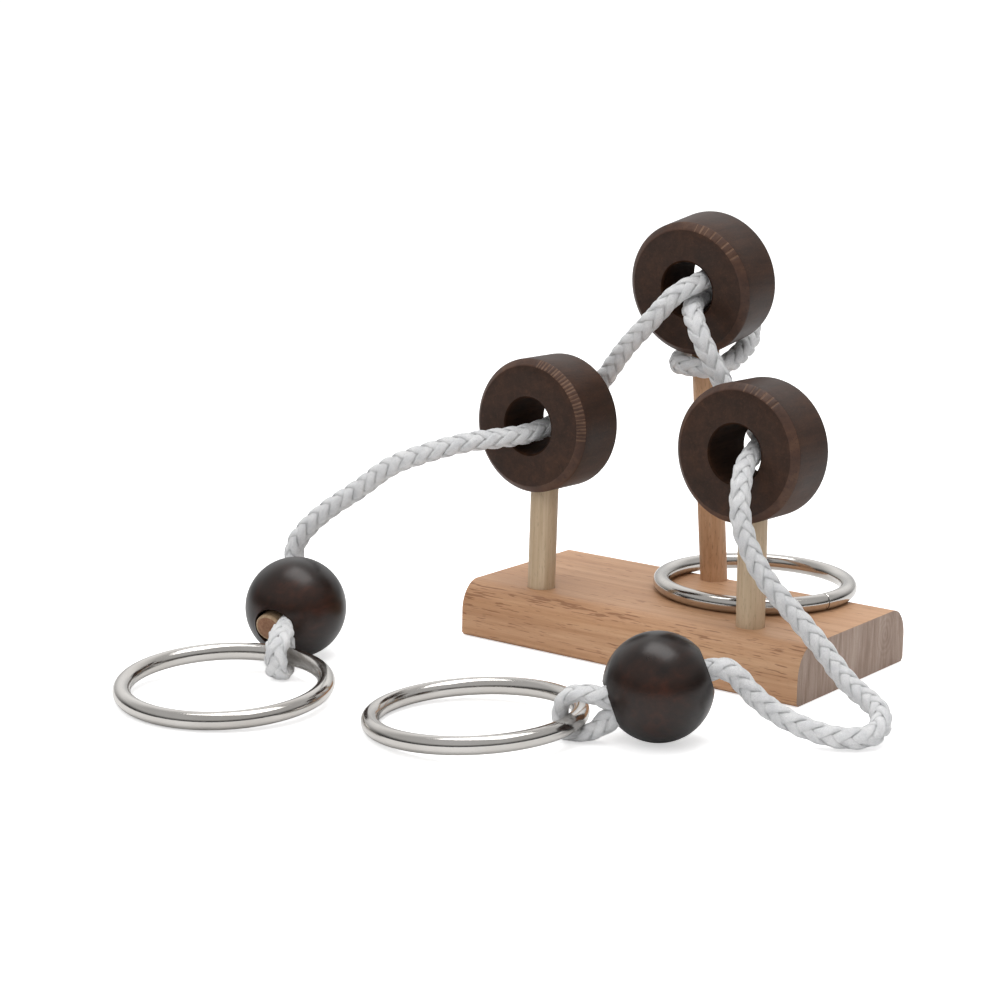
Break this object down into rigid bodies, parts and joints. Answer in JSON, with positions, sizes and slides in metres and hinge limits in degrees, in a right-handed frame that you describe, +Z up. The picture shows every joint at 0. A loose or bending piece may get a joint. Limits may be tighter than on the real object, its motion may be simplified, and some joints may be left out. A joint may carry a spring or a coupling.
{
  "type": "ring and string puzzle",
  "caption": "Disentanglement puzzle: wooden base with upright discs on posts, a white cord threaded through them to corked balls with steel rings, and a loose ring round the rear post.",
  "frame": {"origin": "centre of the base's underside, on the table", "axes": "+X along the base to the right, +Y to the back (the side of the tall post), +Z up"},
  "size_m": [0.1934, 0.1983, 0.1249],
  "materials": {
    "beech_base": "satin",
    "pale_dowel": "bare",
    "beech_dowel": "satin",
    "dark_stained_disc": "satin varnish",
    "brown_stained_ball": "satin varnish",
    "plug_wood": "stained end grain",
    "ring_steel": "nickel plated, polished",
    "white_cord": "braided polyester"
  },
  "bodies": {
    "root": {"base_block": "beech_base", "post_front_left": "pale_dowel", "post_front_right": "pale_dowel", "post_rear": "beech_dowel", "disc_front_left": "dark_stained_disc", "disc_front_right": "dark_stained_disc", "disc_rear": "dark_stained_disc", "cord_bridge_left": "white_cord", "cord_bight_rear": "white_cord", "cord_bridge_right": "white_cord"},
    "left_tail": {"cord_tail_left": "white_cord", "ball_left": "brown_stained_ball", "ball_plug_left": "plug_wood", "cord_loop_left": "white_cord"},
    "right_tail": {"cord_tail_right": "white_cord", "ball_right": "brown_stained_ball", "ball_plug_right": "plug_wood", "cord_loop_right": "white_cord"},
    "left_ring": {"end_ring_left": "ring_steel"},
    "right_ring": {"end_ring_right": "ring_steel"},
    "loose_ring": {"free_ring": "ring_steel"}
  },
  "joints": [
    {"name": "left_tail_swing", "type": "hinge", "parent": "root", "child": "left_tail", "pos_m": [-0.04173, -0.03425, 0.06118], "axis": [0, 0, 1], "range_deg": [-30, 3]},
    {"name": "right_tail_swing", "type": "hinge", "parent": "root", "child": "right_tail", "pos_m": [0.03696, -0.02922, 0.06309], "axis": [0, 0, 1], "range_deg": [-4, 40]},
    {"name": "left_ring_tip", "type": "hinge", "parent": "left_tail", "child": "left_ring", "pos_m": [-0.07051, -0.09584, 0.0059], "axis": [-0.9783, -0.2074, 0], "range_deg": [0, 90]},
    {"name": "right_ring_tip", "type": "hinge", "parent": "right_tail", "child": "right_ring", "pos_m": [0.0277, -0.09072, 0.0059], "axis": [-0.3579, 0.9338, 0], "range_deg": [0, 90]},
    {"name": "loose_ring_lift", "type": "slide", "parent": "root", "child": "loose_ring", "axis": [-0.0144, -0.1079, 0.9941], "range_m": [0, 0.025]}
  ]
}
